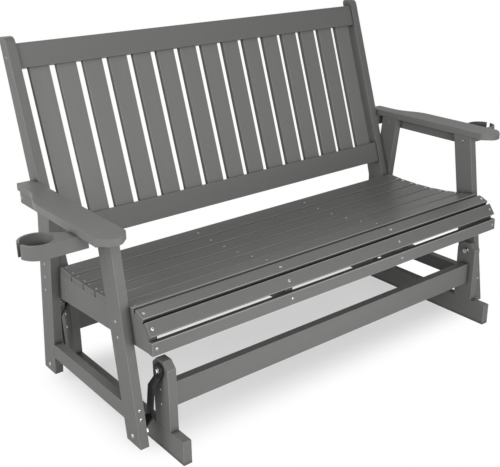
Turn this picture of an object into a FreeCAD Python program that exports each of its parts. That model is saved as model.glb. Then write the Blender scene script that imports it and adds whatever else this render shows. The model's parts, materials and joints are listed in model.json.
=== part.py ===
"""Glider bench of plastic lumber: a slatted seat hung on four steel hangers inside a low base.

Millimetres, +Z up, +X to the right as seen from the front, +Y to the back.
Every piece is built in its place on the right (+X) side, and the left one is its mirror image.
"""
import FreeCAD, Part
import math
import os
from FreeCAD import Vector

# Boards
board = 28.0
edge_round = 1.5
corner_round = 1.4 * edge_round
arm_edge_round = 3.0

# Base
base_inner = 635.0
runner_length = 757.0
runner_height = 75.0
post_width = 75.0
post_height = 215.0
post_chamfer = 21.0
base_bar_height = 75.0
front_base_bar_rise = 62.0
rear_base_bar_rise = 71.0

# Linkage
upper_half_span = 281.0
lower_half_span = 255.0
pivot_below_post_top = 30.0
hanger_length = 200.0
seat_settle = 7.5
linkage_clearance = 2.3

# Hangers and pivots
hanger_thickness = 6.0
hanger_width = 28.0
hanger_eye = 20.0
hanger_offset = 40.4
hanger_bend_start = 24.0
hanger_bend_length = 25.0
hanger_bend_round = 4.0
bush_radius = 9.5
bolt_radius = 5.0
running_clearance = 0.05
side_play = 0.3
washer_radius = 11.0
washer_thickness = 2.0
washer_clearance = 0.3
nut_radius = 9.8
nut_height = 8.0
bolt_head_height = 6.4
bolt_end = 3.0
dome_radius = 7.0
dome_height = 3.5

# Legs and stretchers
leg_width = 72.0
leg_foot = 24.5
leg_rise = 582.5
front_leg_angle = 8.45
rear_leg_angle = 7.25
stretcher_rise = 39.0
stretcher_height = 49.5

# Seat
seat_rise = 342.1
seat_slat_thickness = 18.0
wide_slat_width = 67.0
wide_slat_gap = 5.0
wide_slats = 6
rear_slat_angle = 3.9
dish_angle = 2.98
narrow_slat_width = 39.0
narrow_slat_gap = 2.8
narrow_slats = 3
roll_start_angle = 31.0
roll_angle = 34.0
roll_slat_width = 41.5
roll_slat_lift = 0.95
nose_slat_drop = 3.5
slat_end_inset = 0.3
rail_rear_depth = 97.0
rail_overrun = 3.0
inner_support_place = 233.5
seat_bar_setback = 14.0
seat_bar_height = 76.0

# Back
back_front_foot = 170.5
back_angle = 18.0
back_post_thickness = 31.0
back_foot_depth = 79.0
back_top_depth = 42.7
back_top_round = 15.0
back_top_rise = 17.0
back_rail_height = 73.0
back_rail_setback = 5.0
lower_rail_rise = 76.0
back_slat_length = 462.0
back_slat_width = 65.0
back_slat_end_gap = 27.0
back_slat_thickness = 18.0
back_slats = 15
back_slat_groups = ("left", "middle", "right")
mortise_depth = 12.0
mortise_clearance = 0.25

# Arms
arm_thickness = 22.0
arm_clearance = 1.0
arm_width = 92.0
arm_rear_width = 54.0
arm_front_overhang = 115.0
arm_rear_overhang = 8.0
arm_tail = 216.0
arm_curve_length = 139.0
arm_front_clip = 31.0
apron_thickness = 23.0
apron_height = 38.0
apron_overhang = 7.0
arm_block_length = 36.0
arm_block_setback = 63.6

# Cup holders
cup_radius = 43.3
cup_wall = 7.3
cup_floor = 8.0
cup_reach = 87.9
cup_setback = 57.8
cup_height = 40.0
cup_bar_width = 45.0
cup_bar_gap = 12.0
cup_bar_knee = 5.0
cup_knee_round = 12.0
cup_slot = 18.0
cup_drain = 6.0

# Screws
screw_head_radius = 4.5
screw_head_height = 2.5
screw_radius = 2.4
screw_clearance = 0.2
screw_tip_room = 1.0
screw_bite = 40.0
screw_cover = 6.0
slat_screw_bite = 14.0
slat_screw_spacing = 42.0
post_screw_spacing = 46.0
runner_screw_spacing = 40.0
runner_screw_depth = 12.0
leg_screw_spacing = 45.0
rear_leg_screw_setback = 6.0
back_post_screw_rise = 19.0
stretcher_screw_spacing = 27.0
seat_bar_screw_spacing = 46.0
support_screw_spacing = 36.0
arm_screw_margin = 36.0
arm_screws = 3
arm_screw_bite = 12.0
block_screw_margin = 10.0
cup_screw_spacing = 24.0

# Layers across the bench, from the base's inner face outwards
base_outer = base_inner + board
upper_eye_middle = base_outer + washer_thickness + side_play + hanger_thickness / 2
lower_eye_middle = upper_eye_middle + hanger_offset
leg_inner = lower_eye_middle + hanger_thickness / 2 + side_play + washer_thickness
leg_outer = leg_inner + board
rail_inner = leg_inner - board
rail_middle = leg_inner - board / 2
back_inner = leg_inner - back_post_thickness
apron_outer = leg_outer + apron_thickness
arm_inner = leg_inner + arm_clearance
arm_outer = arm_inner + arm_width

# Heights
post_top = runner_height + post_height
upper_pivot = post_top - pivot_below_post_top
splay = upper_half_span - lower_half_span
lower_level = upper_pivot - math.sqrt(hanger_length ** 2 - splay ** 2)
arm_underside = lower_level + leg_rise
apron_bottom = arm_underside - apron_height
seat_line = lower_level + seat_rise
stretcher_bottom = lower_level + stretcher_rise
base_bar_bottom = {"front": runner_height + front_base_bar_rise,
                   "rear": runner_height + rear_base_bar_rise}

# Along the arms, from the middles of the legs' tops
front_leg_top = leg_rise * math.tan(math.radians(front_leg_angle)) - lower_half_span
rear_leg_top = lower_half_span - leg_rise * math.tan(math.radians(rear_leg_angle))
arm_front = front_leg_top - arm_front_overhang
apron_front = front_leg_top - apron_overhang
cup_place = front_leg_top + cup_setback
arm_block_front = rear_leg_top + arm_block_setback
apron_rear = arm_block_front + arm_block_length
arm_rear = apron_rear + arm_rear_overhang
arm_curve_start = arm_rear - arm_tail

ALONG_X = Vector(1, 0, 0)
ALONG_Y = Vector(0, 1, 0)
ALONG_Z = Vector(0, 0, 1)

pieces = {}
screws = {"base_screws": [], "frame_screws": [], "seat_slat_screws": [], "arm_screws": []}
holes = {}


# Shared shapes
def mirrored(shape):
    """The same shape on the other side of the bench's middle plane."""
    return shape.mirror(Vector(), ALONG_X)


def outline(corners):
    """Closed wire through (point, radius) corners, each rounded by an arc where its radius isn't zero."""
    stops = []
    for index, (point, radius) in enumerate(corners):
        before = corners[index - 1][0]
        after = corners[(index + 1) % len(corners)][0]
        if radius == 0:
            stops.append((point, None, point))
            continue
        back = (before - point).normalize()
        ahead = (after - point).normalize()
        half = back.getAngle(ahead) / 2
        reach = radius / math.tan(half)
        inward = (back + ahead).normalize()
        middle = point + inward * (radius / math.sin(half) - radius)
        stops.append((point + back * reach, middle, point + ahead * reach))
    edges = []
    for index, (start, middle, end) in enumerate(stops):
        if middle is not None:
            edges.append(Part.Arc(start, middle, end).toShape())
        following = stops[(index + 1) % len(stops)][0]
        edges.append(Part.LineSegment(end, following).toShape())
    return Part.Wire(edges)


def soften(solid, axis):
    """Round the rims of a board that was extruded along one axis."""
    rims = []
    for edge in solid.Edges:
        box = edge.BoundBox
        if max(box.XLength * axis.x, box.YLength * axis.y, box.ZLength * axis.z) < 1e-6:
            rims.append(edge)
    return solid.makeFillet(edge_round, rims)


def side_board(corners, inner, thickness):
    """Upright board cut to a (y, z, radius) outline, from inner along +X."""
    wire = outline([(Vector(inner, y, z), radius) for y, z, radius in corners])
    return soften(Part.Face(wire).extrude(ALONG_X * thickness), ALONG_X)


def straight_side_board(points, inner, thickness):
    """Upright board whose (y, z) corners all have the common rounding."""
    return side_board([(y, z, corner_round) for y, z in points], inner, thickness)


def stick(low, high):
    """Straight board between two opposite corners, with all its edges rounded."""
    size = high - low
    solid = Part.makeBox(size.x, size.y, size.z, low)
    return solid.makeFillet(edge_round, solid.Edges)


def tilted(shape, angle, y, z):
    """Turn a shape about the X axis, then carry it to (y, z)."""
    placed = shape.copy()
    placed.rotate(Vector(), ALONG_X, angle)
    placed.translate(Vector(0, y, z))
    return placed


def hexagon(radius, height, start, axis):
    """Hexagonal prism, as on a nut or a bolt head."""
    turns = [index * math.pi / 3 for index in range(7)]
    points = [Vector(0, radius * math.cos(turn), radius * math.sin(turn)) for turn in turns]
    solid = Part.Face(Part.makePolygon(points)).extrude(axis * height)
    solid.translate(start)
    return solid


def drive(group, head, direction, length, *boards):
    """Put a flush screw at head, and its hole in each board that it passes; the left side mirrors it."""
    axis = Vector(direction).normalize()
    screw = Part.makeCylinder(screw_head_radius, screw_head_height, head, axis)
    screw = screw.fuse(Part.makeCylinder(screw_radius, length, head, axis)).removeSplitter()
    screws[group] += [screw, mirrored(screw)]
    hole = Part.makeCylinder(screw_head_radius + screw_clearance, screw_head_height, head, axis)
    shank = Part.makeCylinder(screw_radius + screw_clearance, length + screw_tip_room, head, axis)
    hole = hole.fuse(shank)
    for name in boards:
        holes.setdefault(name, []).append(hole)


def pair(name, shape):
    """Keep a right-hand piece; its left-hand twin is made when the holes are cut."""
    pieces["right_" + name] = shape


# Base
def base_post_middle(side):
    """Distance along Y of a base post: side is -1 front, 1 rear."""
    return side * upper_half_span


def build_base():
    """Runners, posts and crossbars, which stand still."""
    half = runner_length / 2
    pair("runner", stick(Vector(base_inner, -half, 0), Vector(base_outer, half, runner_height)))
    for end, side in (("front", -1), ("rear", 1)):
        middle = base_post_middle(side)
        low = middle - post_width / 2
        high = middle + post_width / 2
        shoulder = post_top - post_chamfer
        points = [(low, runner_height), (high, runner_height), (high, shoulder)]
        points += [(high - post_chamfer, post_top), (low + post_chamfer, post_top), (low, shoulder)]
        pair(end + "_base_post", straight_side_board(points, base_inner, board))
        bottom = base_bar_bottom[end]
        bar_low = Vector(-base_inner, middle - board / 2, bottom)
        bar_high = Vector(base_inner, middle + board / 2, bottom + base_bar_height)
        pieces[end + "_base_crossbar"] = stick(bar_low, bar_high)
        screw_base(end, middle)


def screw_base(end, middle):
    """Screws from a post into its crossbar, and from the runner's underside into the post."""
    post = "right_" + end + "_base_post"
    for step in (-0.5, 0.5):
        height = base_bar_bottom[end] + base_bar_height / 2 + step * post_screw_spacing
        head = Vector(base_outer, middle, height)
        drive("base_screws", head, -ALONG_X, board + screw_bite, post, end + "_base_crossbar")
        place = middle + step * runner_screw_spacing
        foot = Vector(base_inner + board / 2, place, runner_screw_depth)
        length = runner_height - runner_screw_depth + screw_bite
        drive("base_screws", foot, ALONG_Z, length, post, "right_runner")
        opening = Vector(foot.x, place, 0)
        recess = Part.makeCylinder(screw_head_radius + screw_clearance, runner_screw_depth, opening)
        holes["right_runner"].append(recess)


# Hangers and pivots
def hanger_swing(side):
    """How far a hanger's lower eye lies behind its upper eye: side is -1 front, 1 rear."""
    return side * (lower_half_span - upper_half_span) + seat_settle


def lower_pivot(side):
    """Height of a lower pivot, where equal hangers bring it: side is -1 front, 1 rear."""
    return upper_pivot - math.sqrt(hanger_length ** 2 - hanger_swing(side) ** 2)


def strip(path, thickness):
    """(x, z, radius) corners of a bent strip whose middle follows path, with round bends."""
    left = []
    right = []
    for index, (x, z) in enumerate(path):
        first = path[max(index - 1, 0)]
        last = path[min(index + 1, len(path) - 1)]
        into = Vector(x - first[0], z - first[1], 0)
        out = Vector(last[0] - x, last[1] - z, 0)
        into = into.normalize() if into.Length else Vector(out).normalize()
        out = out.normalize() if out.Length else into
        across = (into + out).normalize()
        reach = thickness / 2 / across.dot(into)
        turn = into.x * out.y - into.y * out.x
        inside = hanger_bend_round
        outside = hanger_bend_round + thickness
        radius = (0, 0)
        if turn > 1e-9:
            radius = (inside, outside)
        elif turn < -1e-9:
            radius = (outside, inside)
        left.append((x - across.y * reach, z + across.x * reach, radius[0]))
        right.append((x + across.y * reach, z - across.x * reach, radius[1]))
    return left + right[::-1]


def hanger(side, lower_bore):
    """Right-hand hanger and its two bushes, hung between its pivots: side is -1 front, 1 rear."""
    length = hanger_length
    middle = (upper_eye_middle + lower_eye_middle) / 2
    bend_end = hanger_bend_start + hanger_bend_length
    path = [(upper_eye_middle, hanger_eye), (upper_eye_middle, -hanger_bend_start), (middle, -bend_end)]
    path += [(middle, bend_end - length), (lower_eye_middle, hanger_bend_start - length)]
    path += [(lower_eye_middle, -length - hanger_eye)]
    wire = outline([(Vector(x, -hanger_eye, z), radius) for x, z, radius in strip(path, hanger_thickness)])
    plate = Part.Face(wire).extrude(ALONG_Y * 2 * hanger_eye)
    start = upper_eye_middle - hanger_thickness
    depth = hanger_offset + 2 * hanger_thickness
    top = Part.makeCylinder(hanger_eye, depth, Vector(start, 0, 0), ALONG_X)
    low = Part.makeCylinder(hanger_eye, depth, Vector(start, 0, -length), ALONG_X)
    bar = Part.makeBox(depth, hanger_width, length, Vector(start, -hanger_width / 2, -length))
    body = plate.common(top.fuse([low, bar]))
    bushes = []
    for eye, height, bore in ((upper_eye_middle, 0, bolt_radius + running_clearance),
                              (lower_eye_middle, -length, lower_bore)):
        face = Vector(eye - hanger_thickness / 2, 0, height)
        sleeve = Part.makeCylinder(bush_radius, hanger_thickness, face, ALONG_X)
        body = body.cut(sleeve)
        bushes.append(sleeve.cut(Part.makeCylinder(bore, hanger_thickness, face, ALONG_X)))
    angle = math.degrees(math.asin(hanger_swing(side) / length))
    place = side * upper_half_span
    bushes = [tilted(bush, angle, place, upper_pivot) for bush in bushes]
    return tilted(body.Solids[0], angle, place, upper_pivot), bushes


def ring(x, y, z):
    """Washer whose near face is at x, round a bolt along X."""
    face = Vector(x, y, z)
    disc = Part.makeCylinder(washer_radius, washer_thickness, face, ALONG_X)
    return disc.cut(Part.makeCylinder(bolt_radius + washer_clearance, washer_thickness, face, ALONG_X))


def nut(x, y, z):
    """Hexagonal nut whose near face is at x, threaded on a bolt along X."""
    body = hexagon(nut_radius, nut_height, Vector(x, y, z), ALONG_X)
    return body.cut(Part.makeCylinder(bolt_radius, nut_height, Vector(x, y, z), ALONG_X))


def upper_hardware(side):
    """Bolt, nut and washers at one upper pivot, held by the base post: side is -1 front, 1 rear."""
    y = base_post_middle(side)
    outer_washer = upper_eye_middle + hanger_thickness / 2 + side_play
    head = outer_washer + washer_thickness
    inner_washer = base_inner - washer_thickness
    tip = inner_washer - nut_height - bolt_end
    bolt = Part.makeCylinder(bolt_radius, head - tip, Vector(tip, y, upper_pivot), ALONG_X)
    bolt = bolt.fuse(hexagon(nut_radius, bolt_head_height, Vector(head, y, upper_pivot), ALONG_X))
    washers = [ring(x, y, upper_pivot) for x in (base_outer, outer_washer, inner_washer)]
    start = Vector(base_inner, y, upper_pivot)
    drill = Part.makeCylinder(bolt_radius + washer_clearance, board, start, ALONG_X)
    return bolt.removeSplitter(), nut(inner_washer - nut_height, y, upper_pivot), washers, drill


def lower_hardware(side):
    """Bolt, nut and washers at one lower pivot, held by the leg: side is -1 front, 1 rear."""
    y = side * lower_half_span
    z = lower_pivot(side)
    inner_washer = lower_eye_middle - hanger_thickness / 2 - side_play - washer_thickness
    tip = inner_washer - nut_height - bolt_end
    bolt = Part.makeCylinder(bolt_radius, leg_outer - tip, Vector(tip, y, z), ALONG_X)
    dome_sphere = (dome_radius ** 2 + dome_height ** 2) / (2 * dome_height)
    centre = Vector(leg_outer + dome_height - dome_sphere, y, z)
    cap = Part.makeSphere(dome_sphere, centre)
    cap = cap.common(Part.makeCylinder(dome_sphere, dome_height, Vector(leg_outer, y, z), ALONG_X))
    washers = [ring(x, y, z) for x in (leg_inner - washer_thickness, inner_washer)]
    drill = Part.makeCylinder(bolt_radius + washer_clearance, board, Vector(leg_inner, y, z), ALONG_X)
    return bolt.fuse(cap).removeSplitter(), nut(inner_washer - nut_height, y, z), washers, drill


def both_sides(shapes):
    """One group of separate solids: the right-hand ones and their mirror images."""
    return Part.makeCompound([solid for shape in shapes for solid in (shape, mirrored(shape))])


def build_hangers():
    """Hangers with their bushes; the rear lower bushes have room for the linkage."""
    bores = {"front": bolt_radius + running_clearance, "rear": bolt_radius + linkage_clearance}
    for end, side in (("front", -1), ("rear", 1)):
        body, bushes = hanger(side, bores[end])
        pair(end + "_hanger", body)
        pieces[end + "_hanger_bushes"] = both_sides(bushes)


def build_pivots(level, hardware, carrier):
    """Bolts, nuts and washers of the pivots at one level, and their holes in what carries them."""
    groups = {"bolts": [], "nuts": [], "washers": []}
    for end, side in (("front", -1), ("rear", 1)):
        bolt, lock, washers, drill = hardware(side)
        groups["bolts"].append(bolt)
        groups["nuts"].append(lock)
        groups["washers"] += washers
        holes.setdefault("right_" + end + carrier, []).append(drill)
    for name, shapes in groups.items():
        pieces[level + "_pivot_" + name] = both_sides(shapes)


# Legs
def leg_middle(side, height):
    """Distance along Y of a leg's middle line at a height: side is -1 front, 1 rear."""
    lean = front_leg_angle if side < 0 else rear_leg_angle
    return side * (lower_half_span - (height - lower_level) * math.tan(math.radians(lean)))


def leg_half_width(side):
    """Half of a leg's width, measured level."""
    lean = front_leg_angle if side < 0 else rear_leg_angle
    return leg_width / 2 / math.cos(math.radians(lean))


def build_legs():
    """Splayed legs, and the stretcher between the two of each side."""
    foot = lower_level - leg_foot
    for end, side in (("front", -1), ("rear", 1)):
        half = leg_half_width(side)
        bottom = leg_middle(side, foot)
        top = leg_middle(side, arm_underside)
        points = [(bottom - half, foot), (bottom + half, foot)]
        points += [(top + half, arm_underside), (top - half, arm_underside)]
        pair(end + "_leg", straight_side_board(points, leg_inner, board))
    stretcher_top = stretcher_bottom + stretcher_height
    points = []
    for side, heights in ((-1, (stretcher_top, stretcher_bottom)), (1, (stretcher_bottom, stretcher_top))):
        for height in heights:
            points.append((leg_middle(side, height) - side * leg_half_width(side), height))
    pair("stretcher", straight_side_board(points, leg_inner, board))
    screw_stretcher()


def screw_stretcher():
    """Long screws through each leg, square to its outer edge, into the stretcher's end."""
    middle = stretcher_bottom + stretcher_height / 2
    for end, side, lean in (("front", -1, front_leg_angle), ("rear", 1, rear_leg_angle)):
        angle = math.radians(lean)
        along = Vector(0, -side * math.cos(angle), -math.sin(angle))
        for step in (-0.5, 0.5):
            height = middle + step * stretcher_screw_spacing
            place = leg_middle(side, height) - side * leg_half_width(side)
            head = Vector(leg_inner + board / 2, place, height) - along * leg_width
            length = leg_width + screw_bite
            drive("frame_screws", head, along, length, "right_" + end + "_leg", "right_stretcher")


# Seat
def seat_facets():
    """Corners of the rails' top, from the back forwards: one flat for each slat."""
    corners = [Vector(0, back_front_foot, seat_line)]
    slope = -rear_slat_angle
    for index in range(wide_slats + narrow_slats):
        wide = index < wide_slats
        length = wide_slat_width + wide_slat_gap if wide else narrow_slat_width + narrow_slat_gap
        heading = Vector(0, -math.cos(math.radians(slope)), math.sin(math.radians(slope)))
        corners.append(corners[-1] + heading * length)
        if index < wide_slats - 1:
            slope += dish_angle
        elif index == wide_slats - 1:
            slope -= roll_start_angle
        else:
            slope -= roll_angle
    return corners


def facet_axes(facets, index):
    """Middle, forward heading and outward normal of one slat's flat."""
    heading = (facets[index + 1] - facets[index]).normalize()
    return (facets[index] + facets[index + 1]) / 2, heading, Vector(0, heading.z, -heading.y)


def top_corners(facets):
    """(y, z, radius) of the corners between the flats, rounded only within the gaps of the slats."""
    corners = []
    for index in range(1, len(facets) - 1):
        gap = wide_slat_gap if index < wide_slats else narrow_slat_gap
        turn = (facets[index] - facets[index - 1]).getAngle(facets[index + 1] - facets[index])
        corners.append((facets[index].y, facets[index].z, 0.45 * gap / math.tan(turn / 2)))
    last = facets[-1]
    corners.append((last.y, last.z, corner_round))
    return corners


def rail_rear():
    """Distance along Y of the side rails' rear end, just behind the back post's foot."""
    return back_front_foot + back_foot_depth + rail_overrun


def build_seat():
    """Side rails, inner supports, rear seat crossbar and slats."""
    facets = seat_facets()
    heading, normal = facet_axes(facets, 0)[1:]
    rear = rail_rear()
    corners = [(rear, seat_line - rail_rear_depth, corner_round), (rear, seat_line, corner_round)]
    start = [(facets[0].y, facets[0].z, 0.45 * wide_slat_gap / math.tan(math.radians(rear_slat_angle) / 2))]
    pair("seat_rail", side_board(corners + start + top_corners(facets), rail_inner, board))

    bar_rear = facets[0] + heading * seat_bar_setback
    bar_front = bar_rear + heading * board
    bar = stick(Vector(-rail_inner, -board, -seat_bar_height), Vector(rail_inner, 0, 0))
    pieces["rear_seat_crossbar"] = tilted(bar, rear_slat_angle, bar_rear.y, bar_rear.z)
    bar_bottom = bar_front - normal * seat_bar_height
    corners = [(bar_bottom.y, bar_bottom.z, corner_round), (bar_front.y, bar_front.z, corner_round)]
    support = side_board(corners + top_corners(facets), inner_support_place - board / 2, board)
    pair("inner_seat_support", support)
    screw_seat_frame(bar_rear, heading, normal)

    length = leg_inner - slat_end_inset
    for index in range(wide_slats + narrow_slats):
        wide = index < wide_slats
        width = wide_slat_width if wide else narrow_slat_width
        middle, heading, normal = facet_axes(facets, index)
        if index == wide_slats + 1:
            width = roll_slat_width
            middle = middle - heading * roll_slat_lift
        elif index == wide_slats + 2:
            middle = middle + heading * nose_slat_drop
        plain = stick(Vector(-length, -width / 2, 0), Vector(length, width / 2, seat_slat_thickness))
        angle = math.degrees(math.atan2(-heading.z, -heading.y))
        name = "seat_slat_%d" % (index + 1)
        pieces[name] = tilted(plain, angle, middle.y, middle.z)
        screw_slat(name, wide, middle + normal * seat_slat_thickness, heading, normal)


def screw_seat_frame(bar_rear, heading, normal):
    """Screws from the side rails into the rear crossbar, and from that into the inner supports."""
    centre = bar_rear + heading * (board / 2) - normal * (seat_bar_height / 2)
    for step in (-0.5, 0.5):
        place = centre + normal * (step * seat_bar_screw_spacing)
        head = Vector(leg_inner, place.y, place.z)
        drive("frame_screws", head, -ALONG_X, board + screw_bite, "right_seat_rail", "rear_seat_crossbar")
        place = bar_rear - normal * (seat_bar_height / 2 - step * support_screw_spacing)
        head = Vector(inner_support_place, place.y, place.z)
        names = ("rear_seat_crossbar", "right_inner_seat_support")
        drive("frame_screws", head, heading, board + screw_bite, *names)


def screw_slat(name, wide, top, heading, normal):
    """Screws that hold one seat slat: a pair on a side rail, one on an inner support."""
    length = seat_slat_thickness + slat_screw_bite
    steps = (-0.5, 0.5) if wide else (0,)
    for step in steps:
        head = top + heading * (step * slat_screw_spacing) + ALONG_X * rail_middle
        drive("seat_slat_screws", head, -normal, length, name, "right_seat_rail")
    head = top + ALONG_X * inner_support_place
    support = "rear_seat_crossbar" if name == "seat_slat_1" else "right_inner_seat_support"
    drive("seat_slat_screws", head, -normal, length, name, support)


# Back
def back_top():
    """Height of the back posts' tops."""
    run = lower_rail_rise + 2 * back_rail_height + back_slat_length
    return seat_line + run * math.cos(math.radians(back_angle)) + back_top_rise


def build_back():
    """Reclined posts, the two rails between them and the slats let into the rails."""
    height = back_top()
    front_top = back_front_foot + (height - seat_line) * math.tan(math.radians(back_angle))
    corners = [(back_front_foot, seat_line, corner_round)]
    corners.append((back_front_foot + back_foot_depth, seat_line, corner_round))
    corners.append((front_top + back_top_depth, height, back_top_round))
    corners.append((front_top, height, back_top_round))
    pair("back_post", side_board(corners, back_inner, back_post_thickness))

    upper_rise = lower_rail_rise + back_rail_height + back_slat_length
    slat_front = back_rail_setback + (board - back_slat_thickness) / 2
    first = back_slat_end_gap - back_inner
    spacing = (-2 * first - back_slat_width) / (back_slats - 1)
    slats = []
    mortises = []
    for index in range(back_slats):
        left = first + index * spacing
        low = Vector(left, slat_front, lower_rail_rise + back_rail_height - mortise_depth)
        high = Vector(left + back_slat_width, slat_front + back_slat_thickness, upper_rise + mortise_depth)
        slats.append(tilted(stick(low, high), -back_angle, back_front_foot, seat_line))
        room = Vector(mortise_clearance, mortise_clearance, 0)
        low = low - room
        size = high + room - low
        mortises.append(Part.makeBox(size.x, size.y, size.z, low))
    for name, rise in (("lower_back_rail", lower_rail_rise), ("top_back_rail", upper_rise)):
        low = Vector(-back_inner, back_rail_setback, rise)
        high = Vector(back_inner, back_rail_setback + board, rise + back_rail_height)
        rail = stick(low, high).cut(mortises).Solids[0]
        pieces[name] = tilted(rail, -back_angle, back_front_foot, seat_line)
        centre = Part.Vertex(leg_inner, back_rail_setback + board / 2, rise + back_rail_height / 2)
        head = tilted(centre, -back_angle, back_front_foot, seat_line).Point
        length = back_post_thickness + screw_bite
        drive("frame_screws", head, -ALONG_X, length, "right_back_post", name)
    share = back_slats // len(back_slat_groups)
    for index, place in enumerate(back_slat_groups):
        pieces["back_slats_" + place] = Part.makeCompound(slats[index * share:(index + 1) * share])


def screw_legs():
    """Screws from the legs' outer faces into the seat rails and the back posts."""
    facets = seat_facets()
    nose = facets[-1]
    tail = Vector(0, rail_rear(), seat_line - rail_rear_depth)
    length = 2 * board - screw_cover
    front = leg_middle(-1, seat_line)
    rear = leg_middle(1, seat_line) + rear_leg_screw_setback
    for end, place, rail_top in (("front", front, facets[wide_slats - 1].z), ("rear", rear, seat_line)):
        share = (place - nose.y) / (tail.y - nose.y)
        middle = (rail_top + nose.z + share * (tail.z - nose.z)) / 2
        for step in (-0.5, 0.5):
            height = middle + step * leg_screw_spacing
            side = -1 if end == "front" else 1
            offset = rear_leg_screw_setback if end == "rear" else 0
            head = Vector(leg_outer, leg_middle(side, height) + offset, height)
            drive("frame_screws", head, -ALONG_X, length, "right_" + end + "_leg", "right_seat_rail")
    height = seat_line + back_post_screw_rise
    head = Vector(leg_outer, leg_middle(1, height) + rear_leg_screw_setback, height)
    drive("frame_screws", head, -ALONG_X, length, "right_rear_leg", "right_back_post")


# Arms
def arm_outline():
    """Wire of an armrest seen from above: clipped front corners, an S curve narrowing it to the back."""
    narrow = arm_inner + arm_rear_width
    drop = arm_outer - narrow
    curve_end = arm_curve_start + arm_curve_length
    radius = (arm_curve_length ** 2 + drop ** 2) / (4 * drop)
    turn = math.asin(arm_curve_length / 2 / radius)
    rise = radius * (1 - math.cos(turn / 2))
    run = radius * math.sin(turn / 2)
    level = arm_underside
    points = {
        "inner_rear": Vector(arm_inner, arm_rear, level),
        "inner_front": Vector(arm_inner, arm_front + arm_front_clip, level),
        "front_inner": Vector(arm_inner + arm_front_clip, arm_front, level),
        "front_outer": Vector(arm_outer - arm_front_clip, arm_front, level),
        "outer_front": Vector(arm_outer, arm_front + arm_front_clip, level),
        "curve_start": Vector(arm_outer, arm_curve_start, level),
        "curve_out": Vector(arm_outer - rise, arm_curve_start + run, level),
        "curve_middle": Vector(arm_outer - drop / 2, arm_curve_start + arm_curve_length / 2, level),
        "curve_in": Vector(narrow + rise, curve_end - run, level),
        "curve_end": Vector(narrow, curve_end, level),
        "outer_rear": Vector(narrow, arm_rear, level),
    }
    order = [("inner_rear", "inner_front"), ("inner_front", "front_inner")]
    order += [("front_inner", "front_outer"), ("front_outer", "outer_front")]
    order += [("outer_front", "curve_start"), ("curve_start", "curve_out", "curve_middle")]
    order += [("curve_middle", "curve_in", "curve_end"), ("curve_end", "outer_rear")]
    order += [("outer_rear", "inner_rear")]
    edges = []
    for names in order:
        ends = [points[name] for name in names]
        edges.append((Part.Arc(*ends) if len(ends) == 3 else Part.LineSegment(*ends)).toShape())
    return Part.Wire(edges)


def build_arms():
    """Armrests, the aprons under them and the blocks that tie the aprons to the back posts."""
    plank = Part.Face(arm_outline()).extrude(ALONG_Z * arm_thickness)
    pair("armrest", plank.makeFillet(arm_edge_round, plank.Edges))
    apron_low = Vector(leg_outer, apron_front, apron_bottom)
    pair("apron", stick(apron_low, Vector(apron_outer, apron_rear, arm_underside)))
    block_low = Vector(leg_inner, arm_block_front, apron_bottom)
    pair("arm_block", stick(block_low, Vector(leg_outer, apron_rear, arm_underside)))

    level = apron_bottom + apron_height / 2
    for end, side in (("front", -1), ("rear", 1)):
        head = Vector(leg_inner, leg_middle(side, level), level)
        length = board + apron_thickness - screw_cover
        drive("arm_screws", head, ALONG_X, length, "right_" + end + "_leg", "right_apron")
    head = Vector(apron_outer, apron_rear - block_screw_margin, level)
    length = apron_thickness + 2 * board - screw_cover
    drive("arm_screws", head, -ALONG_X, length, "right_apron", "right_arm_block", "right_back_post")
    first = apron_front + arm_screw_margin
    spacing = (apron_rear - arm_screw_margin - first) / (arm_screws - 1)
    for index in range(arm_screws):
        head = Vector(leg_outer + apron_thickness / 2, first + index * spacing, apron_bottom)
        drive("arm_screws", head, ALONG_Z, apron_height + arm_screw_bite, "right_apron", "right_armrest")


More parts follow.
